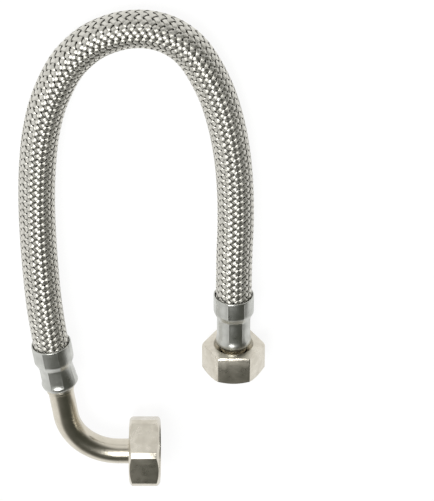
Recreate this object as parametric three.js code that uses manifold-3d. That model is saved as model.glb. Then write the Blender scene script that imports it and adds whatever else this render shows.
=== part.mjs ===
// Pressure tank hose: a DN 13 water hose in stainless wire braid, bent into a U and lying on its side.
// One end has a straight swivel nut, the other a bent pipe with a larger swivel nut.
// Millimetres, +Z up. The floor is z = 0 and the origin is the middle of the fittings' footprint.
import * as THREE from 'three';
import { mergeVertices } from 'three/addons/utils/BufferGeometryUtils.js';
import Module from 'manifold-3d';

const wasm = await Module();
wasm.setup();

// Fits shared by all pieces
const clearance = 0.3;
const swivelClearance = 0.5;
const nutPlay = 2.4;

// Hose
const hoseDiameter = 19.5;
const hoseBore = 13;
const braidWall = 0.9;
const hoseSides = 12;
const hoseSteps = 40;

// Ferrules: bell mouth, shoulder, eight-sided crimp, turned-in lip
const straightFerruleLength = 32.6;
const elbowFerruleLength = 29;
const ferruleWall = 0.8;
const bellLength = 10.5;
const crimpShoulder = 2.5;
const crimpFlats = 18.3;
const crimpSides = 8;
const bellPress = 0.3;
const crimpPress = 0.9;
const lipWall = 1.4;
const lipRound = 3.6;
const mouthRound = 0.4;
const straightCrimpTurn = -7;
const bulgeHeight = 1.4;
const bulgeFromEnd = 5.5;
const bulgeSpread = 4.5;

// Tails inside the hose
const tailTip = 3;
const tailBore = 9;
const barbHeight = 0.6;
const barbCount = 4;
const barbPitch = 4.8;
const linerCrimpedWall = 0.9;
const braidCrimpedWall = 0.65;
const hoseCutBack = 3.5;
const shoulderLand = 1.5;
const neckDiameter = 14;
const grooveDepth = 0.8;

// Straight fitting: G 3/4 nut on a turned insert
const straightMouth = [46.4, 61.8];
const straightNutFlats = 30;
const straightNutLength = 17.3;
const straightThreadMinor = 24.12;
const straightThreadMajor = 26.44;
const straightNutLap = 0.4;
const straightBackWall = 4.8;
const straightSinkDiameter = 21.8;
const straightFaceInset = 1.3;
const straightChamferSlope = 0.82;
const straightCornerFlat = 0.5;
const straightFlangeThickness = 2.2;
const straightSealBore = 17;

// Elbow fitting: G 1 nut on a bent pipe with a brazed collar
const elbowMouth = [-52.9, 32.5];
const elbowLean = 7.5;
const elbowRadius = 29;
const elbowInlet = 20;
const elbowPipeBore = 11;
const elbowBeadDiameter = 15.4;
const elbowBeadLength = 2.2;
const elbowNutSetback = 6.2;
const elbowNutFlats = 37;
const elbowNutLength = 17;
const elbowThreadMinor = 30.29;
const elbowThreadMajor = 33.25;
const elbowBackWall = 4.2;
const elbowSinkDiameter = 17;
const elbowFaceInset = 0.7;
const elbowChamferSlope = 0.6;
const elbowCornerFlat = 3.4;
const elbowCollarThickness = 2.7;
const elbowSealBore = 21;

// Seals and thread ends
const sealThickness = 2;
const reliefLength = 2.2;
const reliefDepth = 0.3;
const threadEntry = 1.1;

// Rounding of the turned pieces
const turnedSegments = 32;
const pipeSegments = 12;
const pipeSteps = 21;

// Free stretch of the hose between the ferrules, from the straight end to the elbow end.
// The hose leaves each ferrule straight, comes down to the floor and lies on it round the bend.
const freeRoute = [
  [46.6, 84, 13.6],
  [47.2, 104, 11.6],
  [46.9, 124, 10.2],
  [45.3, 144, 9.9],
  [41.9, 164, 9.9],
  [36.3, 183, 9.9],
  [27.2, 201, 9.9],
  [20.6, 208.6, 9.9],
  [12.4, 213.9, 9.9],
  [2.9, 216.6, 9.9],
  [-7.2, 216.5, 9.9],
  [-16.9, 213.9, 9.9],
  [-25.7, 209.4, 9.9],
  [-33.2, 202.9, 9.9],
  [-39.5, 195.1, 9.9],
  [-48.1, 177.1, 9.9],
  [-53.3, 158, 9.9],
  [-56, 138, 10.4],
  [-57.2, 118, 11.6],
  [-57.3, 98, 13.4],
  [-56.7, 78, 15.5],
  [-55.4, 56, 17.6],
];

// Sizes that follow from those above
const hoseRadius = hoseDiameter / 2;
const neckRadius = neckDiameter / 2;
const bellInner = hoseRadius + clearance;
const crimpInner = crimpFlats / 2 - ferruleWall;
const grooveRadius = neckRadius - grooveDepth;
const braidFreeInner = hoseRadius - braidWall;
const braidCrimpOuter = crimpInner - clearance;
const braidCrimpInner = braidCrimpOuter - braidCrimpedWall;
const linerFreeOuter = braidFreeInner - clearance;
const linerCrimpOuter = braidCrimpInner - clearance;
const linerCrimpInner = linerCrimpOuter - linerCrimpedWall;
const barbCrest = linerCrimpInner - clearance;
const barbRoot = barbCrest - barbHeight;
const straightAxisHeight = straightNutFlats / 2;
const elbowAxisHeight = elbowNutFlats / 2;

const nickelPlate = { color: 0xc9c2b4, roughness: 0.3, metalness: 1 };
const ferruleSteel = { color: 0xb9bdbf, roughness: 0.25, metalness: 1 };
const braidSteel = { color: 0xb4b2aa, roughness: 0.4, metalness: 0.9 };
const linerRubber = { color: 0x1d1d1d, roughness: 0.8, metalness: 0 };
const sealFibre = { color: 0x3a2b24, roughness: 0.9, metalness: 0 };

// A closed mesh with shared vertices and no empty triangles
function welded(geometry) {
  geometry.deleteAttribute('normal');
  geometry.deleteAttribute('uv');
  const merged = mergeVertices(geometry, 1e-4);
  const corners = merged.index.array;
  const kept = [];
  for (let i = 0; i < corners.length; i += 3) {
    const [a, b, c] = [corners[i], corners[i + 1], corners[i + 2]];
    if (a !== b && b !== c && c !== a) kept.push(a, b, c);
  }
  merged.setIndex(kept);
  return merged;
}

function toSolid(geometry) {
  const mesh = welded(geometry);
  return new wasm.Manifold(new wasm.Mesh({
    numProp: 3,
    vertProperties: Float32Array.from(mesh.attributes.position.array),
    triVerts: Uint32Array.from(mesh.index.array),
  }));
}

function toGeometry(solid) {
  const mesh = solid.getMesh();
  const geometry = new THREE.BufferGeometry();
  geometry.setAttribute('position', new THREE.BufferAttribute(mesh.vertProperties, 3));
  geometry.setIndex(new THREE.BufferAttribute(mesh.triVerts, 1));
  return geometry;
}

// A ring turned about Y from [radius, y] points: up the outside, then down the bore
function turnedRing(points, segments = turnedSegments) {
  const profile = points.map(([radius, y]) => new THREE.Vector2(radius, y));
  profile.push(profile[0].clone());
  return new THREE.LatheGeometry(profile, segments);
}

function named(name, geometry, finish) {
  const mesh = new THREE.Mesh(geometry, new THREE.MeshStandardMaterial(finish));
  mesh.name = name;
  return mesh;
}

// Points of a quarter round from the outside wall to the end face, with the end at the top
function endRound(radius, end, width, height, steps) {
  const points = [];
  for (let i = 0; i <= steps; i += 1) {
    const angle = (Math.PI / 2) * (i / steps);
    points.push([radius - width * (1 - Math.cos(angle)), end - height * (1 - Math.sin(angle))]);
  }
  return points;
}

// Crimping presses the round wall into flats: nothing at a flat's middle, most at its edges.
// The jaws may leave a bulge where they meet, low on the side that faces the bend.
function pressFlats(geometry, length, bulge) {
  const position = geometry.attributes.position;
  const flatAngle = (2 * Math.PI) / crimpSides;
  for (let i = 0; i < position.count; i += 1) {
    const [x, y, z] = [position.getX(i), position.getY(i), position.getZ(i)];
    const angle = Math.atan2(x, z);
    const off = angle - flatAngle * Math.round(angle / flatAngle);
    const along = THREE.MathUtils.clamp((y - bellLength) / crimpShoulder, 0, 1);
    const press = THREE.MathUtils.lerp(bellPress, crimpPress, along);
    const fade = THREE.MathUtils.clamp((length - y) / lipRound, 0, 1);
    const start = THREE.MathUtils.clamp(y / mouthRound, 0, 1);
    const spreadOut = (y - length + bulgeFromEnd) / bulgeSpread;
    const swell = Math.exp(-(spreadOut ** 2)) * Math.max(-Math.sin(angle), 0) ** 2;
    const flatGrowth = press * fade * start * (1 / Math.cos(off) - 1);
    const grow = 1 + flatGrowth + (bulge * fade * swell) / (crimpFlats / 2);
    position.setXYZ(i, x * grow, y, z * grow);
  }
  return geometry;
}

function ferruleGeometry(length, bulge = 0) {
  const bellOuter = bellInner + ferruleWall;
  const crimpOuter = crimpInner + ferruleWall;
  const crimpStart = bellLength + crimpShoulder;
  const lipWidth = crimpOuter - grooveRadius - clearance - ferruleWall / 2;
  const lipInnerFace = length - lipWall;
  const outside = [
    [bellOuter - mouthRound, 0],
    [bellOuter, mouthRound],
    [bellOuter, bellLength],
    [crimpOuter, crimpStart],
    [crimpOuter, (crimpStart + length) / 2],
    ...endRound(crimpOuter, length, lipWidth, lipRound, 6),
  ];
  const inside = [
    [grooveRadius + clearance, length],
    [grooveRadius + clearance, lipInnerFace],
    [crimpInner, lipInnerFace],
    [crimpInner, crimpStart],
    [bellInner, bellLength],
    [bellInner, 0],
  ];
  return pressFlats(turnedRing([...outside, ...inside]), length, bulge);
}

// The line that the hose follows from inside one bell to inside the other
function hoseLine(depth) {
  const lean = THREE.MathUtils.degToRad(elbowLean);
  const elbowAlong = (y) => new THREE.Vector3(
    elbowMouth[0] + y * Math.sin(lean), elbowMouth[1] - y * Math.cos(lean), elbowAxisHeight);
  const straightAlong = (y) => new THREE.Vector3(
    straightMouth[0], straightMouth[1] - y, straightAxisHeight);
  return new THREE.CatmullRomCurve3([
    straightAlong(depth),
    straightAlong(0),
    ...freeRoute.map((point) => new THREE.Vector3(...point)),
    elbowAlong(0),
    elbowAlong(depth),
  ], false, 'centripetal');
}

function hoseTube(outerRadius, innerRadius) {
  const section = new THREE.Shape();
  const bore = new THREE.Path();
  const boreCorner = innerRadius / Math.cos(Math.PI / hoseSides);
  for (let i = 0; i < hoseSides; i += 1) {
    const angle = (2 * Math.PI * i) / hoseSides;
    const [x, y] = [Math.cos(angle), Math.sin(angle)];
    if (i === 0) {
      section.moveTo(outerRadius * x, outerRadius * y);
      bore.moveTo(boreCorner * x, boreCorner * y);
    } else {
      section.lineTo(outerRadius * x, outerRadius * y);
      bore.lineTo(boreCorner * x, boreCorner * y);
    }
  }
  section.holes.push(bore);
  return new THREE.ExtrudeGeometry(section, {
    steps: hoseSteps,
    extrudePath: hoseLine(bellLength - 4 * clearance),
  });
}

// The end of one hose layer inside a ferrule: full size in the bell, squeezed in the crimp
function squeezedEnd(hoseEnd, freeOuter, freeInner, crimpOuter, crimpInnerWall, lead) {
  const joinStart = bellLength - 6 * clearance;
  const slopeStart = bellLength - lead;
  const slopeEnd = slopeStart + crimpShoulder;
  return turnedRing([
    [freeOuter, joinStart],
    [freeOuter, slopeStart],
    [crimpOuter, slopeEnd],
    [crimpOuter, hoseEnd],
    [crimpInnerWall, hoseEnd],
    [crimpInnerWall, slopeEnd],
    [freeInner, slopeStart],
    [freeInner, joinStart],
  ], 2 * hoseSides);
}

const straightPlace = new THREE.Matrix4()
  .makeTranslation(straightMouth[0], straightMouth[1], straightAxisHeight)
  .multiply(new THREE.Matrix4().makeRotationZ(Math.PI));

const elbowPlace = new THREE.Matrix4()
  .makeTranslation(elbowMouth[0], elbowMouth[1], elbowAxisHeight)
  .multiply(new THREE.Matrix4().makeRotationZ(Math.PI + THREE.MathUtils.degToRad(elbowLean)));

function hoseLayer(freeOuter, freeInner, crimpOuter, crimpInnerWall, lead) {
  const ends = [[straightPlace, straightFerruleLength], [elbowPlace, elbowFerruleLength]].map(
    ([place, length]) => toSolid(squeezedEnd(
      length - hoseCutBack, freeOuter - clearance / 6, freeInner, crimpOuter, crimpInnerWall, lead,
    ).applyMatrix4(place)));
  return toGeometry(toSolid(hoseTube(freeOuter, freeInner)).add(ends[0]).add(ends[1]));
}

// Outside of a tail, from its tip to the neck: barbs, shoulder and the groove for the ferrule's lip
function tailOutside(length) {
  const points = [[barbRoot, tailTip]];
  const hoseEnd = length - hoseCutBack;
  const barbStart = hoseEnd - 1 - barbCount * barbPitch;
  for (let i = 0; i < barbCount; i += 1) {
    const y = barbStart + i * barbPitch;
    points.push([barbRoot, y], [barbCrest, y + barbPitch - barbHeight]);
  }
  const shoulder = hoseEnd + clearance;
  const grooveStart = shoulder + shoulderLand;
  points.push(
    [barbRoot, barbStart + barbCount * barbPitch],
    [barbRoot, shoulder],
    [neckRadius, shoulder],
    [neckRadius, grooveStart],
    [grooveRadius, grooveStart],
    [grooveRadius, length + clearance],
    [neckRadius, length + clearance],
  );
  return points;
}

// The straight insert carries its sealing flange inside the nut,
// and the nut's sunk back takes the ferrule's round end
const straightNutBack = straightFerruleLength - straightNutLap;
const straightFlangeBack = straightNutBack + straightBackWall + clearance;
const straightFlangeFront = straightFlangeBack + straightFlangeThickness;

function straightInsertGeometry() {
  const flangeRadius = straightThreadMinor / 2 - clearance;
  return turnedRing([
    ...tailOutside(straightFerruleLength),
    [neckRadius, straightFlangeBack],
    [flangeRadius, straightFlangeBack],
    [flangeRadius, straightFlangeFront],
    [tailBore / 2, straightFlangeFront],
    [tailBore / 2, tailTip],
  ]);
}

// Middle line of the bent pipe in the elbow ferrule's own frame: straight, bend, straight
class BentPipeLine extends THREE.Curve {
  constructor(start, bendStart, bendAngle, outlet) {
    super();
    Object.assign(this, { start, bendStart, bendAngle, outlet });
  }

  getPoint(t, target = new THREE.Vector3()) {
    const inlet = this.bendStart - this.start;
    const bend = elbowRadius * this.bendAngle;
    const along = t * (inlet + bend + this.outlet);
    if (along < inlet) return target.set(0, this.start + along, 0);
    const angle = Math.min((along - inlet) / elbowRadius, this.bendAngle);
    const past = Math.max(along - inlet - bend, 0);
    return target.set(
      elbowRadius * (Math.cos(angle) - 1) - past * Math.sin(angle),
      this.bendStart + elbowRadius * Math.sin(angle) + past * Math.cos(angle),
      0,
    );
  }
}

const elbowBendAngle = Math.PI / 2 - THREE.MathUtils.degToRad(elbowLean);
const elbowBendStart = elbowFerruleLength + elbowInlet;
const elbowCollarBack = elbowNutSetback + elbowBackWall + clearance;
const elbowCollarFront = elbowCollarBack + elbowCollarThickness;

function elbowPipeGeometry() {
  const beadStart = elbowFerruleLength + clearance;
  const beadEnd = beadStart + elbowBeadLength;
  const tailEnd = beadEnd + elbowBeadLength;
  const beadRadius = elbowBeadDiameter / 2;
  const tail = turnedRing([
    ...tailOutside(elbowFerruleLength),
    [beadRadius, beadStart + elbowBeadLength / 4],
    [beadRadius, beadEnd - elbowBeadLength / 4],
    [neckRadius - clearance / 6, beadEnd],
    [neckRadius - clearance / 6, tailEnd],
    [tailBore / 2, tailEnd],
    [tailBore / 2, tailTip],
  ]);
  const section = new THREE.Shape();
  section.absarc(0, 0, neckRadius, 0, 2 * Math.PI);
  const bore = new THREE.Path();
  bore.absarc(0, 0, elbowPipeBore / 2, 0, 2 * Math.PI, true);
  section.holes.push(bore);
  const line = new BentPipeLine(beadEnd, elbowBendStart, elbowBendAngle, elbowCollarFront - clearance);
  const pipe = new THREE.ExtrudeGeometry(section, {
    steps: pipeSteps,
    curveSegments: pipeSegments,
    extrudePath: line,
  });
  return toGeometry(toSolid(tail).add(toSolid(pipe)));
}

function elbowCollarGeometry() {
  const collarRadius = elbowThreadMinor / 2 - clearance;
  const boreRadius = neckRadius + clearance;
  return turnedRing([
    [boreRadius, elbowCollarBack],
    [collarRadius, elbowCollarBack],
    [collarRadius, elbowCollarFront],
    [boreRadius, elbowCollarFront],
  ]);
}

// A union nut along Y from its back face: turned chamfers and bore, then cut to the hexagon
function nutGeometry(size) {
  const { flats, length, minor, major, backWall, sink, faceInset, slope, cornerFlat } = size;
  const hole = neckRadius + swivelClearance;
  const faceRadius = flats / 2 - faceInset;
  const cornerRadius = flats / Math.sqrt(3);
  const envelope = cornerRadius + 1;
  const chamfer = (envelope - faceRadius) * slope;
  const relief = major / 2 + reliefDepth;
  const reliefEnd = backWall + reliefLength;
  const rounds = turnedRing([
    [sink / 2, 0],
    [faceRadius, 0],
    [envelope, chamfer],
    [envelope, length - chamfer],
    [faceRadius, length],
    [major / 2 + reliefDepth / 2, length],
    [minor / 2, length - threadEntry],
    [minor / 2, reliefEnd + (relief - minor / 2)],
    [relief, reliefEnd],
    [relief, backWall],
    [hole, backWall],
    [hole, sink / 2 - hole],
  ]);
  const hexagon = new THREE.Shape();
  const cut = cornerFlat / Math.sqrt(3);
  for (let i = 0; i < 6; i += 1) {
    const corner = (Math.PI / 3) * i;
    for (const side of [-1, 1]) {
      const along = corner + side * (2 * Math.PI) / 3;
      const x = cornerRadius * Math.cos(corner) + cut * Math.cos(along);
      const y = cornerRadius * Math.sin(corner) + cut * Math.sin(along);
      if (i === 0 && side < 0) hexagon.moveTo(x, y);
      else hexagon.lineTo(x, y);
    }
  }
  const prism = new THREE.ExtrudeGeometry(hexagon, { depth: length + 2, bevelEnabled: false });
  prism.rotateX(-Math.PI / 2);
  prism.translate(0, -1, 0);
  return toGeometry(toSolid(rounds).intersect(toSolid(prism)));
}

const straightNutSize = {
  flats: straightNutFlats,
  length: straightNutLength,
  minor: straightThreadMinor,
  major: straightThreadMajor,
  backWall: straightBackWall,
  sink: straightSinkDiameter,
  faceInset: straightFaceInset,
  slope: straightChamferSlope,
  cornerFlat: straightCornerFlat,
};

const elbowNutSize = {
  flats: elbowNutFlats,
  length: elbowNutLength,
  minor: elbowThreadMinor,
  major: elbowThreadMajor,
  backWall: elbowBackWall,
  sink: elbowSinkDiameter,
  faceInset: elbowFaceInset,
  slope: elbowChamferSlope,
  cornerFlat: elbowCornerFlat,
};

// Flat washer, its near face at y = 0
function sealGeometry(threadMinor, bore) {
  const outer = threadMinor / 2 - clearance;
  return turnedRing([
    [bore / 2, 0],
    [outer, 0],
    [outer, sealThickness],
    [bore / 2, sealThickness],
  ]);
}

function raised(mesh, y) {
  mesh.position.y = y;
  return mesh;
}

// Each end is a group whose +Y runs out of the hose along the fitting, from the ferrule's mouth
function straightEnd() {
  const end = new THREE.Group();
  end.applyMatrix4(straightPlace);
  const ferrule = named('straight_ferrule', ferruleGeometry(straightFerruleLength), ferruleSteel);
  ferrule.rotation.y = THREE.MathUtils.degToRad(straightCrimpTurn);
  const seal = named('straight_seal', sealGeometry(straightThreadMinor, straightSealBore), sealFibre);
  end.add(
    ferrule,
    named('straight_insert', straightInsertGeometry(), nickelPlate),
    raised(named('straight_nut', nutGeometry(straightNutSize), nickelPlate), straightNutBack),
    raised(seal, straightFlangeFront + nutPlay + clearance),
  );
  return end;
}

function elbowEnd() {
  const end = new THREE.Group();
  end.applyMatrix4(elbowPlace);
  const outlet = new THREE.Group();
  outlet.position.set(
    elbowRadius * (Math.cos(elbowBendAngle) - 1),
    elbowBendStart + elbowRadius * Math.sin(elbowBendAngle),
    0,
  );
  outlet.rotation.z = elbowBendAngle;
  const seal = named('elbow_seal', sealGeometry(elbowThreadMinor, elbowSealBore), sealFibre);
  outlet.add(
    named('elbow_collar', elbowCollarGeometry(), nickelPlate),
    raised(named('elbow_nut', nutGeometry(elbowNutSize), nickelPlate), elbowNutSetback),
    raised(seal, elbowCollarFront + nutPlay + clearance),
  );
  end.add(
    named('elbow_ferrule', ferruleGeometry(elbowFerruleLength, bulgeHeight), ferruleSteel),
    named('elbow_pipe', elbowPipeGeometry(), nickelPlate),
    outlet,
  );
  return end;
}

const pressureTankHose = new THREE.Group();
pressureTankHose.add(
  named('inner_tube',
    hoseLayer(linerFreeOuter, hoseBore / 2, linerCrimpOuter, linerCrimpInner, 2 * clearance), linerRubber),
  named('braid_sleeve',
    hoseLayer(hoseRadius, braidFreeInner, braidCrimpOuter, braidCrimpInner, clearance), braidSteel),
  straightEnd(),
  elbowEnd(),
);

export default pressureTankHose;
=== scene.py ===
import math

import bmesh
import bpy
import numpy as np
from mathutils import Matrix, Vector


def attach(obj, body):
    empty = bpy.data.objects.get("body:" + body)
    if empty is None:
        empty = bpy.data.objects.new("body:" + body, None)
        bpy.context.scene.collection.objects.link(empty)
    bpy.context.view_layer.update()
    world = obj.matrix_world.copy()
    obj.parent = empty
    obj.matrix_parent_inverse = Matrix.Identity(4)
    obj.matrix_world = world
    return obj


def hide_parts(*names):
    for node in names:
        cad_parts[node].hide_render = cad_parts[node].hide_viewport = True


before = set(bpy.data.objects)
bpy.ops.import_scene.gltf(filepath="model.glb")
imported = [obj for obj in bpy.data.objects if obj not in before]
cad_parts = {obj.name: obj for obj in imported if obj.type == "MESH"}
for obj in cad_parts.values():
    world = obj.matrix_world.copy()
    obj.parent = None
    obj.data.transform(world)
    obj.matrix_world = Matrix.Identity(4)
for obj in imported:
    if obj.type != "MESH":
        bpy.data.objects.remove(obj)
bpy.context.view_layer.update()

mm = 0.001
scene = bpy.context.scene

cameraView = {
    "target": (0.0374, 0.0862, 0.010),
    "tilt": 32.0,  # degrees from straight down, leaning over the bend of the hose
    "distance": 1.12,
    "lens": 150.9,
}


def placeCamera(view):
    tilt = math.radians(view["tilt"])
    camera = bpy.data.cameras.new("camera")
    camera.lens = view["lens"]
    camera.sensor_width = 36
    camera.clip_end = 50
    holder = bpy.data.objects.new("camera", camera)
    scene.collection.objects.link(holder)
    back = Vector((0, math.sin(tilt), math.cos(tilt)))
    holder.location = Vector(view["target"]) + view["distance"] * back
    holder.rotation_euler = (-tilt, 0, 0)
    scene.camera = holder


placeCamera(cameraView)
print("camera placed")

# the line that the hose follows, from inside one bell to inside the other
hoseRoute = {
    "straightMouth": (46.4, 61.8, 15.0),
    "elbowMouth": (-52.9, 32.5, 18.5),
    "elbowLean": 7.5,
    "depth": 9.3,
    "between": [
        (46.6, 84, 13.6), (47.2, 104, 11.6), (46.9, 124, 10.2), (45.3, 144, 9.9), (41.9, 164, 9.9),
        (36.3, 183, 9.9), (27.2, 201, 9.9), (20.6, 208.6, 9.9), (12.4, 213.9, 9.9), (2.9, 216.6, 9.9),
        (-7.2, 216.5, 9.9), (-16.9, 213.9, 9.9), (-25.7, 209.4, 9.9), (-33.2, 202.9, 9.9),
        (-39.5, 195.1, 9.9), (-48.1, 177.1, 9.9), (-53.3, 158, 9.9), (-56, 138, 10.4),
        (-57.2, 118, 11.6), (-57.3, 98, 13.4), (-56.7, 78, 15.5), (-55.4, 56, 17.6),
    ],
}

lineSteps = {"perSpan": 160, "even": 3001}


def routePoints(route):
    lean = math.radians(route["elbowLean"])
    into = np.array([math.sin(lean), -math.cos(lean), 0])
    start = np.array(route["straightMouth"])
    end = np.array(route["elbowMouth"])
    points = [start - [0, route["depth"], 0], start]
    points += [np.array(point) for point in route["between"]]
    points += [end, end + route["depth"] * into]
    return np.array(points) * mm


def routeSpans(points):  # the ends of each span of the smooth line and its slope at both
    padded = np.vstack([2 * points[0] - points[1], points, 2 * points[-1] - points[-2]])
    spans = []
    for a, b, c, d in zip(padded, padded[1:], padded[2:], padded[3:]):
        before, here, after = [math.sqrt(np.linalg.norm(q - p)) for p, q in ((a, b), (b, c), (c, d))]
        leave = ((b - a) / before - (c - a) / (before + here) + (c - b) / here) * here
        arrive = ((c - b) / here - (d - b) / (here + after) + (d - c) / after) * here
        spans.append((b, c, leave, arrive))
    return spans


def sampleLine(spans):  # the line and two side directions that don't twist, at even steps
    t = np.linspace(0, 1, lineSteps["perSpan"], endpoint=False)[:, None]
    raw = [
        (2 * t**3 - 3 * t**2 + 1) * a + (t**3 - 2 * t**2 + t) * leave
        + (3 * t**2 - 2 * t**3) * b + (t**3 - t**2) * arrive
        for a, b, leave, arrive in spans
    ]
    raw = np.vstack(raw + [spans[-1][1][None, :]])
    run = np.concatenate([[0], np.cumsum(np.linalg.norm(np.diff(raw, axis=0), axis=1))])
    along = np.linspace(0, run[-1], lineSteps["even"])
    centre = np.column_stack([np.interp(along, run, raw[:, i]) for i in range(3)])
    direction = np.gradient(centre, along, axis=0)
    direction /= np.linalg.norm(direction, axis=1)[:, None]
    side = np.zeros_like(direction)
    side[0] = np.cross(direction[0], [0, 0, 1])
    for i in range(1, len(along)):
        side[i] = side[i - 1] - direction[i] * np.dot(direction[i], side[i - 1])
        side[i] /= np.linalg.norm(side[i])
    other = np.cross(direction, side)
    return {"along": along, "centre": centre, "side": side, "other": other, "length": run[-1]}


hosePoints = routePoints(hoseRoute)
hoseSpans = routeSpans(hosePoints)
hoseLine = sampleLine(hoseSpans)
print("hose line", round(hoseLine["length"], 4), "m")


def freshMaterial(name):
    material = bpy.data.materials.new(name)
    material.use_nodes = True
    tree = material.node_tree
    shader = tree.nodes["Principled BSDF"]
    return material, tree, shader


def addNode(tree, kind, inputs=None, **settings):
    node = tree.nodes.new(kind)
    for key, value in settings.items():
        setattr(node, key, value)
    for key, value in (inputs or {}).items():
        if isinstance(value, bpy.types.NodeSocket):
            tree.links.new(value, node.inputs[key])
        else:
            node.inputs[key].default_value = value
    return node


def addNoise(tree, source, scale, detail, roughness=0.55):
    settings = {"Vector": source, "Scale": scale, "Detail": detail, "Roughness": roughness}
    return addNode(tree, "ShaderNodeTexNoise", settings).outputs["Fac"]


def spread(tree, value, low, high, fromLow=0.3, fromHigh=0.7):  # a noise value turned into a range
    settings = {"Value": value, "From Min": fromLow, "From Max": fromHigh, "To Min": low, "To Max": high}
    return addNode(tree, "ShaderNodeMapRange", settings).outputs["Result"]


def blendColours(tree, factor, first, second):
    node = addNode(tree, "ShaderNodeMix", data_type="RGBA")
    for socket, value in ((0, factor), (6, first), (7, second)):  # the colour sockets of a Mix node
        if isinstance(value, bpy.types.NodeSocket):
            tree.links.new(value, node.inputs[socket])
        else:
            node.inputs[socket].default_value = value
    return node.outputs[2]


patchRange = (0.35, 0.7)  # the stretch of a noise over which one colour turns into the other

platedMetals = {
    "nickel plate": {
        "bright": (0.72, 0.68, 0.59, 1), "dull": (0.62, 0.58, 0.495, 1), "roughness": (0.24, 0.36),
        "blotch": (190, 0.00007), "mottle": (560, 0.00005), "pit": (2100, 0.00001),  # scale and depth
    },
    "nickel pipe": {
        "bright": (0.70, 0.655, 0.56, 1), "dull": (0.62, 0.58, 0.485, 1), "roughness": (0.2, 0.28),
        "blotch": (110, 0.00003), "mottle": (500, 0.00001), "pit": (2400, 0.000006),
    },
    "pressed steel": {
        "bright": (0.61, 0.615, 0.58, 1), "dull": (0.52, 0.525, 0.495, 1), "roughness": (0.27, 0.38),
        "blotch": (170, 0.00006), "mottle": (600, 0.00004), "pit": (2400, 0.000006),
    },
}


def metalFinish(name):
    finish = platedMetals[name]
    material, tree, shader = freshMaterial(name)
    place = addNode(tree, "ShaderNodeTexCoord").outputs["Object"]
    blotch = addNoise(tree, place, finish["blotch"][0], 3)
    patches = spread(tree, blotch, 0, 1, *patchRange)
    colour = blendColours(tree, patches, finish["bright"], finish["dull"])
    tree.links.new(colour, shader.inputs["Base Color"])
    low, high = finish["roughness"]
    tree.links.new(spread(tree, blotch, low, high), shader.inputs["Roughness"])
    normal = None
    for kind, detail in (("blotch", 3), ("mottle", 3), ("pit", 2)):  # cast waves, mottling, then pits
        scale, depth = finish[kind]
        height = addNoise(tree, place, scale, detail)
        bump = addNode(tree, "ShaderNodeBump", {"Height": height, "Distance": depth, "Strength": 1.0})
        if normal:
            tree.links.new(normal, bump.inputs["Normal"])
        normal = bump.outputs["Normal"]
    tree.links.new(normal, shader.inputs["Normal"])
    shader.inputs["Metallic"].default_value = 1.0
    return material


braidFinish = {
    "bright": (0.8, 0.785, 0.725, 1), "dull": (0.66, 0.645, 0.59, 1),
    "wires": 7, "wireDepth": 0.000015, "shadeScale": 260, "roughness": 0.42, "anisotropic": 0.85,
    "turn": 0.25,  # makes the wires spread the light across themselves
}


def braidMaterial(finish):
    material, tree, shader = freshMaterial("braid wire")
    uv = addNode(tree, "ShaderNodeUVMap", uv_map="UVMap").outputs["UV"]
    across = addNode(tree, "ShaderNodeSeparateXYZ", {"Vector": uv}).outputs["Y"]
    factors = {0: across, 1: finish["wires"] * math.pi}
    turns = addNode(tree, "ShaderNodeMath", factors, operation="MULTIPLY")
    ridge = addNode(tree, "ShaderNodeMath", {0: turns.outputs[0]}, operation="SINE")
    wires = addNode(tree, "ShaderNodeMath", {0: ridge.outputs[0]}, operation="ABSOLUTE").outputs[0]
    place = addNode(tree, "ShaderNodeTexCoord").outputs["Object"]
    shade = addNoise(tree, place, finish["shadeScale"], 2)
    patches = spread(tree, shade, 0, 1, *patchRange)
    colour = blendColours(tree, patches, finish["bright"], finish["dull"])
    tree.links.new(colour, shader.inputs["Base Color"])
    relief = {"Height": wires, "Distance": finish["wireDepth"], "Strength": 1.0}
    bump = addNode(tree, "ShaderNodeBump", relief)
    tree.links.new(bump.outputs["Normal"], shader.inputs["Normal"])
    along = addNode(tree, "ShaderNodeTangent", direction_type="UV_MAP", uv_map="UVMap")
    tree.links.new(along.outputs["Tangent"], shader.inputs["Tangent"])
    shader.inputs["Roughness"].default_value = finish["roughness"]
    shader.inputs["Anisotropic"].default_value = finish["anisotropic"]
    shader.inputs["Anisotropic Rotation"].default_value = finish["turn"]
    shader.inputs["Metallic"].default_value = 1.0
    return material


dullSurfaces = {
    "liner rubber": {
        "first": (0.018, 0.017, 0.015, 1), "second": (0.034, 0.032, 0.028, 1),
        "roughness": (0.67, 0.83), "grain": (700, 0.00004),  # scale and depth
    },
    "seal fibre": {
        "first": (0.035, 0.022, 0.016, 1), "second": (0.075, 0.05, 0.036, 1),
        "roughness": (0.74, 0.9), "grain": (1100, 0.00006),
    },
}


def dullFinish(name):
    finish = dullSurfaces[name]
    material, tree, shader = freshMaterial(name)
    place = addNode(tree, "ShaderNodeTexCoord").outputs["Object"]
    scale, depth = finish["grain"]
    grain = addNoise(tree, place, scale, 5)
    colour = blendColours(tree, spread(tree, grain, 0, 1), finish["first"], finish["second"])
    tree.links.new(colour, shader.inputs["Base Color"])
    low, high = finish["roughness"]
    tree.links.new(spread(tree, grain, low, high), shader.inputs["Roughness"])
    bump = addNode(tree, "ShaderNodeBump", {"Height": grain, "Distance": depth, "Strength": 0.7})
    tree.links.new(bump.outputs["Normal"], shader.inputs["Normal"])
    return material


nickelPlate = metalFinish("nickel plate")
nickelPipe = metalFinish("nickel pipe")
pressedSteel = metalFinish("pressed steel")
braidWire = braidMaterial(braidFinish)
linerRubber = dullFinish("liner rubber")
sealFibre = dullFinish("seal fibre")
print("materials made")

linerCord = {"radius": 8.75, "diameter": 19.5, "spanSteps": 12, "roundSteps": 7}  # diameter with its braid


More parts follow.
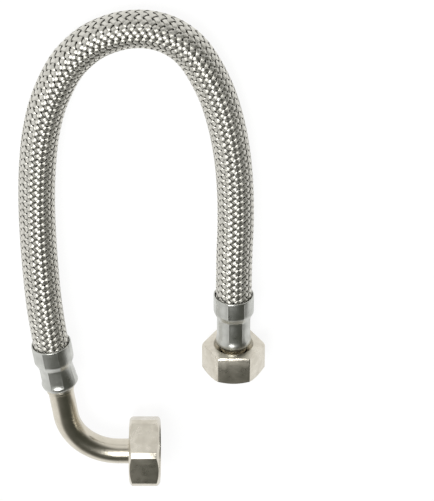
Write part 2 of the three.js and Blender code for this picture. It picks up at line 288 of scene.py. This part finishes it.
def makeLiner(size):
    curve = bpy.data.curves.new("hoseLiner", "CURVE")
    curve.dimensions = "3D"
    curve.resolution_u = size["spanSteps"]
    curve.bevel_depth = size["radius"] * mm
    curve.bevel_resolution = size["roundSteps"]
    line = curve.splines.new("BEZIER")
    line.bezier_points.add(len(hosePoints) - 1)
    for i, point in enumerate(line.bezier_points):
        here = hosePoints[i]
        leave = hoseSpans[i][2] if i < len(hoseSpans) else hoseSpans[-1][3]
        arrive = hoseSpans[i - 1][3] if i else hoseSpans[0][2]
        point.handle_left_type = point.handle_right_type = "FREE"
        point.co = here
        point.handle_right = here + leave / 3
        point.handle_left = here - arrive / 3
    liner = bpy.data.objects.new("hoseLiner", curve)
    scene.collection.objects.link(liner)
    curve.materials.append(linerRubber)
    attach(liner, "hose")
    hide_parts("braid_sleeve")


makeLiner(linerCord)
print("liner laid")

wireBraid = {
    "bands": 12,  # each way round
    "lead": 43.8,  # length of hose for one turn of a band
    "middleRadius": 9.38,
    "wave": 0.22,  # how far a band rises and dips at the crossings
    "flatness": 1.6,  # how level it runs between them
    "crown": 0.1,
    "thickness": 0.1,
    "halfWidth": 1.08,
    "top": (-1, -0.45, 0.45, 1),  # points across a band, as shares of its half width
    "underside": (0.85, -0.85),
    "stepsPerTurn": 132,
}


def makeBraid(name, size, turn):
    radius, lead = size["middleRadius"] * mm, size["lead"] * mm
    length = hoseLine["length"]
    steps = int(length / lead * size["stepsPerTurn"])
    along = np.linspace(0, length, steps + 1)
    slope = math.atan2(2 * math.pi * radius, lead)
    across = np.array(size["top"] + size["underside"])
    lift = size["crown"] * (1 - across**2)
    lift[len(size["top"]):] = -size["thickness"]
    half = size["halfWidth"] * mm
    swing = np.tanh(size["flatness"] * np.cos(2 * size["bands"] * math.pi * along / lead))
    wave = turn * size["wave"] * mm * swing / math.tanh(size["flatness"])
    points, faces, uvs = [], [], []
    count = len(across)
    for band in range(size["bands"]):
        angle = turn * 2 * math.pi * along / lead + 2 * math.pi * band / size["bands"]
        s = along[:, None] - across[None, :] * half * math.sin(slope)
        theta = angle[:, None] + turn * across[None, :] * half * math.cos(slope) / radius
        rho = radius + wave[:, None] + lift[None, :] * mm
        s = np.clip(s, 0, length).ravel()
        look = {}
        for key in ("centre", "side", "other"):
            axes = [np.interp(s, hoseLine["along"], hoseLine[key][:, i]) for i in range(3)]
            look[key] = np.column_stack(axes)
        turned = theta.ravel()[:, None]
        out = np.cos(turned) * look["side"] + np.sin(turned) * look["other"]
        first = band * (steps + 1) * count
        points.append(look["centre"] + rho.ravel()[:, None] * out)
        lengthwise = np.repeat(along / (2 * half), count)
        crosswise = np.tile((across + 1) / 2, steps + 1)
        uvs.append(np.column_stack([lengthwise, crosswise]))
        row = first + count * np.arange(steps)[:, None] + np.arange(count)[None, :]
        nextColumn = first + count * np.arange(steps)[:, None] + (np.arange(count)[None, :] + 1) % count
        quads = np.stack([row, nextColumn, nextColumn + count, row + count], axis=-1).reshape(-1, 4)
        faces.append(quads if turn > 0 else quads[:, ::-1])
    points, faces, uvs = np.vstack(points), np.vstack(faces), np.vstack(uvs)
    mesh = bpy.data.meshes.new(name)
    mesh.from_pydata(points.tolist(), [], faces.tolist())
    mesh.uv_layers.new(name="UVMap")
    corner = np.empty(len(mesh.loops), dtype=np.int64)
    mesh.loops.foreach_get("vertex_index", corner)
    mesh.uv_layers["UVMap"].data.foreach_set("uv", uvs[corner].ravel())
    mesh.polygons.foreach_set("use_smooth", [True] * len(mesh.polygons))
    mesh.update()
    braid = bpy.data.objects.new(name, mesh)
    scene.collection.objects.link(braid)
    mesh.materials.append(braidWire)
    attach(braid, "hose")


makeBraid("braidRightHand", wireBraid, 1)
makeBraid("braidLeftHand", wireBraid, -1)
print("braid woven")


def deselectAll():
    if bpy.context.object and bpy.context.object.mode != "OBJECT":
        bpy.ops.object.mode_set(mode="OBJECT")
    bpy.ops.object.select_all(action="DESELECT")


def pick(thing):
    deselectAll()
    thing.select_set(True)
    bpy.context.view_layer.objects.active = thing


def settle(thing, place):  # puts a finished piece where it belongs and its place into its mesh
    pick(thing)
    thing.matrix_world = place
    bpy.ops.object.transform_apply(location=True, rotation=True, scale=True)


def applyModifier(thing, kind, **settings):
    pick(thing)
    modifier = thing.modifiers.new(kind.lower(), kind)
    for key, value in settings.items():
        setattr(modifier, key, value)
    bpy.ops.object.modifier_apply(modifier=modifier.name)


def selectVertices(test):  # in edit mode, by place
    edited = bmesh.from_edit_mesh(bpy.context.object.data)
    bpy.ops.mesh.select_mode(type="VERT")
    bpy.ops.mesh.select_all(action="DESELECT")
    for vertex in edited.verts:
        if test(vertex.co):
            vertex.select = True
    edited.select_flush_mode()
    bmesh.update_edit_mesh(bpy.context.object.data)


def drawProfile(name, points):  # a line of edges through [radius, y] points in mm
    deselectAll()
    bpy.ops.mesh.primitive_plane_add(size=0.001, location=(0, 0, 0))
    thing = bpy.context.object
    thing.name = name
    bpy.ops.object.mode_set(mode="EDIT")
    bpy.ops.mesh.select_mode(type="VERT")
    bpy.ops.mesh.select_all(action="SELECT")
    bpy.ops.mesh.merge(type="CENTER")
    bpy.ops.mesh.select_all(action="SELECT")
    bpy.ops.transform.translate(value=(points[0][0] * mm, points[0][1] * mm, 0))
    for before, after in zip(points, points[1:]):
        step = ((after[0] - before[0]) * mm, (after[1] - before[1]) * mm, 0)
        bpy.ops.mesh.extrude_region_move(TRANSFORM_OT_translate={"value": step})
    return thing


def turnOnLathe(name, points, steps=96):  # a closed section spun about Y
    thing = drawProfile(name, points)
    ends = [Vector((p[0] * mm, p[1] * mm, 0)) for p in (points[0], points[-1])]
    selectVertices(lambda place: min((place - end).length for end in ends) < 1e-6)
    bpy.ops.mesh.edge_face_add()
    bpy.ops.mesh.select_all(action="SELECT")
    bpy.ops.mesh.spin(steps=steps, angle=2 * math.pi, center=(0, 0, 0), axis=(0, 1, 0))
    bpy.ops.mesh.select_all(action="SELECT")
    bpy.ops.mesh.remove_doubles(threshold=1e-6)
    bpy.ops.mesh.normals_make_consistent(inside=False)
    bpy.ops.object.mode_set(mode="OBJECT")
    return thing


def finish(thing, body, material, slot, angle, nodes=()):
    pick(thing)
    bpy.ops.object.shade_smooth_by_angle(angle=math.radians(angle))
    thing.data.materials.clear()
    thing.data.materials.append(material)
    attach(thing, body)
    if nodes:
        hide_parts(*nodes)
    print(thing.name, len(thing.data.polygons), "faces")


def placeAt(mouth, turn):  # +Y of the piece runs out of the hose along the fitting
    return Matrix.Translation(Vector(mouth) * mm) @ Matrix.Rotation(math.pi + math.radians(turn), 4, "Z")


straightPlace = placeAt(hoseRoute["straightMouth"], 0)
elbowPlace = placeAt(hoseRoute["elbowMouth"], hoseRoute["elbowLean"])

ferruleShape = {
    "bell": 10.5, "shoulder": 2.5, "bellRadius": 11.05, "crimpRadius": 9.6,
    "bellInner": 10.05, "crimpInner": 8.35,
    "bellLine": ((-0.5, 0), (-0.18, 0.1), (0, 0.45), (0, 1.2), (0, 4), (0, 8)),  # off its radius and mouth
    "bellEnd": ((-0.02, -0.6), (-0.16, 0)),  # off its radius and end
    "shoulderEnd": 0.12,  # how much wider than the crimp
    "waist": 0.38,  # how much narrower the jaws leave it than its end
    "waistEase": ((0.03, 0.8), (0, 2.5)),  # off the waist and the shoulder's end
    "jawLine": ((0, -2.5), (0, -0.4)),  # off the waist and the jaws' end
    "jawRise": (-0.04, 1.0),  # off the crimp's radius and the jaws' end
    "jawSlope": (-1.2, 0.6),  # where the pressing fades, off the jaws' end
    "mouthSlope": 0.4,
    "sides": 8, "stepsPerSide": 16, "seam": 0.13, "seamAngle": 2.8,
    "bellPress": 0.2, "crimpPress": 0.32,  # 1 would press its sides quite flat
    "lipWall": 1.4, "lipInner": 6.5, "lipOuter": 6.9, "lipEdge": 0.15, "round": 3.4, "roundSteps": 8,
    "mouthEdge": ((0, 0.3), (0.12, 0.05)),  # off the bell's inner radius and mouth
    "bulgeFromEnd": 5.5, "bulgeSpread": 4.5,
}
ferruleEnds = {
    "straightFerrule": {"node": "straight_ferrule", "length": 32.6, "jawEnd": 5.4, "bulge": 0, "turn": -7,
                        "place": straightPlace},
    "elbowFerrule": {"node": "elbow_ferrule", "length": 29, "jawEnd": 4.6, "bulge": 1.4, "turn": 0,
                     "place": elbowPlace},
}


def offsets(radius, y, pairs):
    return [(radius + wider, y + further) for wider, further in pairs]


def ferrulePoints(size, end):
    bell, crimp, last = size["bellRadius"], size["crimpRadius"], end["length"]
    start = size["bell"] + size["shoulder"]
    waist, jaws = crimp - size["waist"], last - end["jawEnd"]
    points = offsets(bell, 0, size["bellLine"]) + offsets(bell, size["bell"], size["bellEnd"])
    points += [(crimp + size["shoulderEnd"], start)] + offsets(waist, start, size["waistEase"])
    points += offsets(waist, jaws, size["jawLine"]) + offsets(crimp, jaws, [size["jawRise"]])
    for i in range(size["roundSteps"] + 1):
        angle = math.pi / 2 * i / size["roundSteps"]
        inward = (crimp - size["lipOuter"]) * (1 - math.cos(angle))
        points.append((crimp - inward, last - size["round"] * (1 - math.sin(angle))))
    points += [(size["lipInner"] + size["lipEdge"], last), (size["lipInner"], last - size["lipEdge"])]
    points += [(size["lipInner"], last - size["lipWall"]), (size["crimpInner"], last - size["lipWall"])]
    points += [(size["crimpInner"], start), (size["bellInner"], size["bell"])]
    return points + offsets(size["bellInner"], 0, size["mouthEdge"])


def ramp(value, low, high):  # from 0 to 1 without a kink at either end
    share = min(max((value - low) / (high - low), 0), 1)
    return share * share * (3 - 2 * share)


def pressed(size, end, y, angle):  # how wide one place ends up, as a share of the round tube
    flat = 2 * math.pi / size["sides"]
    off = abs(angle - flat * round(angle / flat))
    along = ramp(y, size["bell"], size["bell"] + size["shoulder"])
    press = size["bellPress"] + (size["crimpPress"] - size["bellPress"]) * along
    left = end["length"] - y
    fadeStart, fadeEnd = size["jawSlope"]
    jaws = ramp(left, end["jawEnd"] + fadeStart, end["jawEnd"] + fadeEnd) * ramp(y, 0, size["mouthSlope"])
    seamStart = flat / 2 - math.radians(size["seamAngle"])
    seam = size["seam"] / size["crimpRadius"] * ramp(off, seamStart, flat / 2)
    swell = math.exp(-((size["bulgeFromEnd"] - left) / size["bulgeSpread"]) ** 2)
    side = max(-math.sin(angle), 0) ** 2
    bulge = end["bulge"] / size["crimpRadius"] * swell * ramp(left, 0, size["round"]) * side
    return 1 + jaws * (seam - press * (1 - math.cos(flat / 2) / math.cos(off))) + bulge


def isBore(size, radius):  # the bores stay round
    return radius < size["crimpInner"] + 0.01 or abs(radius - size["bellInner"]) < 0.2


def makeFerrule(name, size, end):
    ferrule = turnOnLathe(name, ferrulePoints(size, end), size["stepsPerSide"] * size["sides"])
    for vertex in ferrule.data.vertices:
        x, y, z = vertex.co
        if not isBore(size, math.hypot(x, z) / mm):
            grow = pressed(size, end, y / mm, math.atan2(x, z))
            vertex.co = (x * grow, y, z * grow)
    applyModifier(ferrule, "SUBSURF", levels=1, render_levels=1)
    settle(ferrule, end["place"] @ Matrix.Rotation(math.radians(end["turn"]), 4, "Y"))
    finish(ferrule, "hose", pressedSteel, "ferrule_steel", 60, [end["node"]])


for ferruleName, ferruleEnd in ferruleEnds.items():
    makeFerrule(ferruleName, ferruleShape, ferruleEnd)

tailShape = {
    "tip": 3, "tipEdge": 0.3, "bore": 9, "root": 5.3, "crest": 5.9, "crestBack": 0.6,
    "barbs": 4, "pitch": 4.8, "runOut": 1, "cutBack": 3.5, "land": 1.5,
    "neck": 7, "neckEdge": 0.15, "groove": 6.2, "gap": 0.3,
}


def tailPoints(size, length):
    shoulder = length - size["cutBack"] + size["gap"]
    landEnd, lipEnd = shoulder + size["land"], length + size["gap"]
    barbStart = length - size["cutBack"] - size["runOut"] - size["barbs"] * size["pitch"]
    tip, edge = size["tip"], size["tipEdge"]
    points = [(size["bore"] / 2 + edge, tip), (size["root"], tip + edge)]
    for i in range(size["barbs"]):
        y = barbStart + i * size["pitch"]
        points += [(size["root"], y), (size["crest"], y + size["pitch"] - size["crestBack"])]
    points += [(size["root"], barbStart + size["barbs"] * size["pitch"]), (size["root"], shoulder)]
    points += [(size["neck"], shoulder), (size["neck"], landEnd), (size["groove"], landEnd)]
    points += [(size["groove"], lipEnd), (size["neck"] - size["neckEdge"], lipEnd)]
    return points + [(size["neck"], lipEnd + size["neckEdge"])]


insertShape = {"flangeBack": 37.3, "flangeFront": 39.5, "flangeRadius": 11.76, "fillet": 0.4, "edge": 0.2}


def makeInsert(size, tail):
    back, front, radius = size["flangeBack"], size["flangeFront"], size["flangeRadius"]
    neck, bore, fillet, edge = tail["neck"], tail["bore"] / 2, size["fillet"], size["edge"]
    points = tailPoints(tail, ferruleEnds["straightFerrule"]["length"])
    points += [(neck, back - fillet), (neck + fillet, back), (radius - edge, back), (radius, back + edge)]
    points += [(radius, front - edge), (radius - edge, front)]
    points += [(bore + fillet, front), (bore, front - fillet)]
    insert = turnOnLathe("straightInsert", points + [(bore, tail["tip"] + tail["tipEdge"])])
    settle(insert, straightPlace)
    finish(insert, "hose", nickelPlate, "nickel_plate", 30, ["straight_insert"])


makeInsert(insertShape, tailShape)

pipeShape = {
    "radius": 29, "inlet": 20, "outer": 7, "bore": 5.5, "start": 31.5, "outlet": 13.1,
    "beadRadius": 7.7, "beadStart": 29.3, "beadLength": 2.2,
    "beadRound": 0.6, "beadDrop": 0.35, "beadFoot": 0.1,
    "sunk": 0.05,  # how far the tail's end lies inside the pipe's wall
    "sides": 64, "bendSteps": 48,
}
bendAngle = math.radians(90 - hoseRoute["elbowLean"])
bendStart = ferruleEnds["elbowFerrule"]["length"] + pipeShape["inlet"]


def bentTube(size):
    deselectAll()
    start = (0, size["start"] * mm, 0)
    bpy.ops.mesh.primitive_circle_add(vertices=size["sides"], radius=size["outer"] * mm, location=start,
                                      rotation=(math.pi / 2, 0, 0))
    pipe = bpy.context.object
    bpy.ops.object.transform_apply(location=True, rotation=True, scale=True)
    bpy.ops.object.mode_set(mode="EDIT")
    bpy.ops.mesh.select_mode(type="VERT")
    bpy.ops.mesh.select_all(action="SELECT")
    bpy.ops.mesh.duplicate()
    inward = size["bore"] / size["outer"]
    bpy.ops.transform.resize(value=(inward, 1, inward), center_override=start)
    bpy.ops.mesh.select_all(action="SELECT")
    ahead = (0, (bendStart - size["start"]) * mm, 0)
    bpy.ops.mesh.extrude_region_move(TRANSFORM_OT_translate={"value": ahead})
    middle = (-size["radius"] * mm, bendStart * mm, 0)
    bpy.ops.mesh.spin(steps=size["bendSteps"], angle=-bendAngle, center=middle, axis=(0, 0, 1))
    out = Vector((-math.sin(bendAngle), math.cos(bendAngle), 0)) * size["outlet"] * mm
    bpy.ops.mesh.extrude_region_move(TRANSFORM_OT_translate={"value": out})
    bpy.ops.mesh.bridge_edge_loops()
    wide = size["outer"] * mm * 1.01
    selectVertices(lambda place: abs(place.y - start[1]) < 1e-6 and abs(place.x) < wide)
    bpy.ops.mesh.bridge_edge_loops()
    bpy.ops.mesh.select_all(action="SELECT")
    bpy.ops.mesh.remove_doubles(threshold=1e-6)
    bpy.ops.mesh.normals_make_consistent(inside=False)
    bpy.ops.object.mode_set(mode="OBJECT")
    return pipe


def pipeTailPoints(size, tail):
    bead, begin, beadEnd = size["beadRadius"], size["beadStart"], size["beadStart"] + size["beadLength"]
    foot, rounded, drop, bore = size["beadFoot"], size["beadRound"], size["beadDrop"], tail["bore"] / 2
    sunk = tail["neck"] - size["sunk"]
    last = beadEnd + size["beadLength"]
    points = tailPoints(tail, ferruleEnds["elbowFerrule"]["length"])
    points += [(tail["neck"] + drop, begin + foot), (bead, begin + rounded)]
    points += [(bead, beadEnd - rounded), (bead - drop, beadEnd - foot), (sunk, beadEnd), (sunk, last)]
    return points + [(bore, last), (bore, tail["tip"] + tail["tipEdge"])]


def makePipe(size, tail):
    pipe = bentTube(size)
    tailPart = turnOnLathe("elbowTail", pipeTailPoints(size, tail))
    deselectAll()
    tailPart.select_set(True)
    pipe.select_set(True)
    bpy.context.view_layer.objects.active = pipe
    bpy.ops.object.join()
    pipe.name = "elbowPipe"
    settle(pipe, elbowPlace)
    finish(pipe, "hose", nickelPipe, "nickel_plate", 32, ["elbow_pipe"])


makePipe(pipeShape, tailShape)

bendEnd = Vector((
    pipeShape["radius"] * (math.cos(bendAngle) - 1),
    bendStart + pipeShape["radius"] * math.sin(bendAngle),
    0,
)) * mm
outletPlace = elbowPlace @ Matrix.Translation(bendEnd) @ Matrix.Rotation(bendAngle, 4, "Z")

ringShapes = {
    "elbowCollar": {
        "body": "hose", "node": "elbow_collar",
        "bore": 7.3, "outer": 14.845, "start": 10.7, "end": 13.4,
        "place": outletPlace, "material": nickelPlate, "slot": "nickel_plate", "edge": 0.25,
    },
    "straightSeal": {
        "body": "straight_seal", "node": "straight_seal",
        "bore": 8.5, "outer": 11.76, "start": 42.2, "end": 44.2,
        "place": straightPlace, "material": sealFibre, "slot": "seal_fibre", "edge": 0.15,
    },
    "elbowSeal": {
        "body": "elbow_seal", "node": "elbow_seal",
        "bore": 10.5, "outer": 14.845, "start": 16.1, "end": 18.1,
        "place": outletPlace, "material": sealFibre, "slot": "seal_fibre", "edge": 0.15,
    },
}


def makeRing(name, size):
    bore, outer, start, end, edge = (size[key] for key in ("bore", "outer", "start", "end", "edge"))
    ring = turnOnLathe(name, [
        (bore, start + edge), (bore + edge, start), (outer - edge, start), (outer, start + edge),
        (outer, end - edge), (outer - edge, end), (bore + edge, end), (bore, end - edge),
    ])
    settle(ring, size["place"])
    finish(ring, size["body"], size["material"], size["slot"], 50, [size["node"]])


for ringName, ringSize in ringShapes.items():
    makeRing(ringName, ringSize)

nutShapes = {
    "straightNut": {
        "flats": 30, "length": 17.3, "minor": 24.12, "major": 26.44, "pitch": 1.814, "turns": 4,
        "backWall": 4.8, "sink": 21.8, "backFace": 16.3, "backSlope": 0.9,
        "mouthFace": 13.5, "mouthSlope": 0.58, "corner": 0.5, "edgeBand": 1.5, "edgeTilt": 13,
        "start": 32.2, "place": straightPlace, "body": "straight_nut", "node": "straight_nut",
    },
    "elbowNut": {
        "flats": 37, "length": 17, "minor": 30.29, "major": 33.25, "pitch": 2.309, "turns": 3,
        "backWall": 4.2, "sink": 17, "backFace": 17.8, "backSlope": 0.6,
        "mouthFace": 17.8, "mouthSlope": 0.6, "corner": 3.4, "edgeBand": 0.6, "edgeTilt": 13,
        "start": 6.2, "place": outletPlace, "body": "elbow_nut", "node": "elbow_nut",
    },
}
nutDetails = {
    "hole": 7.5,
    "reach": 1,  # how far the turned envelope and the prism reach past the nut
    "mouthEdge": (0.25, 0.35),  # across and along
    "undercut": 0.3, "undercutEnd": 1.9, "undercutSlope": 2.2, "threadStart": 3.2,
    "threadSunk": 0.15, "threadCrest": (0.42, 0.58), "threadSteps": 64,  # its crest in shares of the pitch
    "edgeRound": 0.22, "edgeSteps": 3, "edgeLimit": 28,
}


def makeHexagon(name, size, detail):  # a prism with a flat on top, its edges at the back drawn in a little
    corner = size["flats"] / math.sqrt(3)
    long = size["length"] + detail["reach"] - size["edgeBand"]
    deselectAll()
    bpy.ops.mesh.primitive_cylinder_add(vertices=6, radius=corner * mm, depth=long * mm,
                                        location=(0, (size["edgeBand"] + long / 2) * mm, 0),
                                        rotation=(math.pi / 2, 0, 0))
    prism = bpy.context.object
    prism.name = name
    bpy.ops.object.transform_apply(location=True, rotation=True, scale=True)
    settle(prism, Matrix.Rotation(math.pi / 6, 4, "Y"))
    bpy.ops.object.mode_set(mode="EDIT")
    edited = bmesh.from_edit_mesh(prism.data)
    bpy.ops.mesh.select_mode(type="EDGE")
    bpy.ops.mesh.select_all(action="DESELECT")
    for edge in edited.edges:
        run = edge.verts[0].co - edge.verts[1].co
        edge.select = abs(run.y) > 0.9 * run.length
    bmesh.update_edit_mesh(prism.data)
    bpy.ops.mesh.bevel(offset=size["corner"] / math.sqrt(3) * mm, segments=1, affect="EDGES")
    back = size["edgeBand"] * mm
    selectVertices(lambda place: abs(place.y - back) < 1e-6)
    bpy.ops.mesh.extrude_region_move(TRANSFORM_OT_translate={"value": (0, -back, 0)})
    inward = 1 - size["edgeBand"] * math.tan(math.radians(size["edgeTilt"])) / (size["flats"] / 2)
    bpy.ops.transform.resize(value=(inward, 1, inward), center_override=(0, 0, 0))
    bpy.ops.object.mode_set(mode="OBJECT")
    return prism


def nutPoints(size, detail):  # the turned shape that cuts the prism
    length, wall, hole = size["length"], size["backWall"], detail["hole"]
    sink, major = size["sink"] / 2, size["major"] / 2
    envelope = size["flats"] / math.sqrt(3) + detail["reach"]
    backChamfer = (envelope - size["backFace"]) * size["backSlope"]
    mouthChamfer = (envelope - size["mouthFace"]) * size["mouthSlope"]
    across, along = detail["mouthEdge"]
    undercut = major + detail["undercut"]
    points = [(sink, 0.001), (size["backFace"], 0.001), (envelope, backChamfer)]
    points += [(envelope, length - mouthChamfer), (size["mouthFace"], length), (major + across, length)]
    points += [(major, length - along), (major, wall + detail["undercutSlope"])]
    points += [(undercut, wall + detail["undercutEnd"]), (undercut, wall), (hole, wall)]
    return points + [(hole, sink - hole)]


def makeNut(name, size, detail):
    rounds = turnOnLathe(name + "Rounds", nutPoints(size, detail))
    nut = makeHexagon(name, size, detail)
    applyModifier(nut, "BOOLEAN", operation="INTERSECT", object=rounds, solver="EXACT")
    bpy.data.objects.remove(rounds)
    applyModifier(nut, "BEVEL", width=detail["edgeRound"] * mm, segments=detail["edgeSteps"],
                  limit_method="ANGLE", angle_limit=math.radians(detail["edgeLimit"]))
    settle(nut, size["place"] @ Matrix.Translation((0, size["start"] * mm, 0)))
    finish(nut, size["body"], nickelPlate, "nickel_plate", 30, [size["node"]])


def makeThread(name, size, detail):
    minor, major, pitch = size["minor"] / 2, size["major"] / 2 + detail["threadSunk"], size["pitch"]
    start = size["backWall"] + detail["threadStart"]
    crests = [(minor, start + share * pitch) for share in detail["threadCrest"]]
    thread = drawProfile(name + "Thread", [(major, start), *crests, (major, start + pitch)])
    bpy.ops.object.mode_set(mode="OBJECT")
    steps = detail["threadSteps"]
    applyModifier(thread, "SCREW", axis="Y", screw_offset=pitch * mm, iterations=size["turns"], steps=steps,
                  render_steps=steps, use_merge_vertices=True, use_smooth_shade=False)
    settle(thread, size["place"] @ Matrix.Translation((0, size["start"] * mm, 0)))
    finish(thread, size["body"], nickelPlate, "nickel_plate", 30)


for nutName, nutSize in nutShapes.items():
    makeNut(nutName, nutSize, nutDetails)
    makeThread(nutName, nutSize, nutDetails)

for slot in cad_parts["inner_tube"].material_slots:
    slot.material = linerRubber
print("fittings made")

floorLook = {
    "size": 6.0, "colour": (0.93, 0.93, 0.93, 1), "roughness": 0.9,
    "shown": 0.86,  # how much of what is seen is plain glow, the rest holds the shadows
    "glow": 1.06,
}


def makeFloor(look):
    deselectAll()
    bpy.ops.mesh.primitive_plane_add(size=look["size"], location=(0, 0, 0))
    floor = bpy.context.object
    floor.name = "floor"
    material, tree, shader = freshMaterial("floor paper")
    shader.inputs["Base Color"].default_value = look["colour"]
    shader.inputs["Roughness"].default_value = look["roughness"]
    rays = addNode(tree, "ShaderNodeLightPath").outputs
    seen = rays["Is Camera Ray"]
    for kind in ("Is Glossy Ray", "Is Transmission Ray"):
        seen = addNode(tree, "ShaderNodeMath", {0: seen, 1: rays[kind]}, operation="MAXIMUM").outputs[0]
    share = addNode(tree, "ShaderNodeMath", {0: seen, 1: look["shown"]}, operation="MULTIPLY")
    glow = addNode(tree, "ShaderNodeEmission", {"Color": (1, 1, 1, 1), "Strength": look["glow"]})
    sockets = {0: share.outputs[0], 1: shader.outputs[0], 2: glow.outputs[0]}
    mix = addNode(tree, "ShaderNodeMixShader", sockets)
    tree.links.new(mix.outputs[0], tree.nodes["Material Output"].inputs["Surface"])
    floor.data.materials.append(material)


makeFloor(floorLook)

studio = {
    "lean": (0.38, -0.115, 1.0),  # the walls stand higher on the left and behind the camera
    "stops": (  # level along that direction and the light there
        (0.0, (0.97, 0.97, 0.97)),
        (0.27, (0.95, 0.95, 0.95)),
        (0.4, (0.58, 0.58, 0.57)),
        (0.52, (0.25, 0.25, 0.24)),
        (0.65, (0.12, 0.12, 0.105)),
        (0.8, (0.07, 0.072, 0.058)),
        (1.0, (0.055, 0.058, 0.045)),
    ),
    "lamps": {
        "overhead": {"toward": (-0.19, 0.06, 0.96), "far": 1.5, "size": (0.85, 0.62), "power": 14},
        "cameraSide": {"toward": (0.0, 0.47, 0.88), "far": 1.5, "size": (0.7, 0.42), "power": 0.6},
    },
}


def lightStudio(look):
    world = bpy.data.worlds.new("studio")
    scene.world = world
    world.use_nodes = True
    tree = world.node_tree
    way = addNode(tree, "ShaderNodeTexCoord").outputs["Generated"]
    level = addNode(tree, "ShaderNodeVectorMath", {0: way, 1: look["lean"]}, operation="DOT_PRODUCT")
    walls = addNode(tree, "ShaderNodeValToRGB", {"Fac": level.outputs["Value"]})
    stops = walls.color_ramp.elements  # it has one at 0 and one at 1 already
    stops[0].color = (*look["stops"][0][1], 1)
    stops[1].color = (*look["stops"][-1][1], 1)
    for place, colour in look["stops"][1:-1]:
        stops.new(place).color = (*colour, 1)
    ray = addNode(tree, "ShaderNodeLightPath").outputs["Is Camera Ray"]
    seen = blendColours(tree, ray, walls.outputs["Color"], (1, 1, 1, 1))
    tree.links.new(seen, tree.nodes["Background"].inputs["Color"])
    middle = Vector(cameraView["target"])
    for name, lamp in look["lamps"].items():
        light = bpy.data.lights.new(name, "AREA")
        light.shape = "RECTANGLE"
        light.size, light.size_y = lamp["size"]
        light.energy = lamp["power"]
        holder = bpy.data.objects.new(name, light)
        scene.collection.objects.link(holder)
        toward = Vector(lamp["toward"]).normalized()
        holder.location = middle + lamp["far"] * toward
        holder.rotation_euler = toward.to_track_quat("Z", "Y").to_euler()


lightStudio(studio)
print("studio lit")

scene.view_settings.view_transform = "Standard"
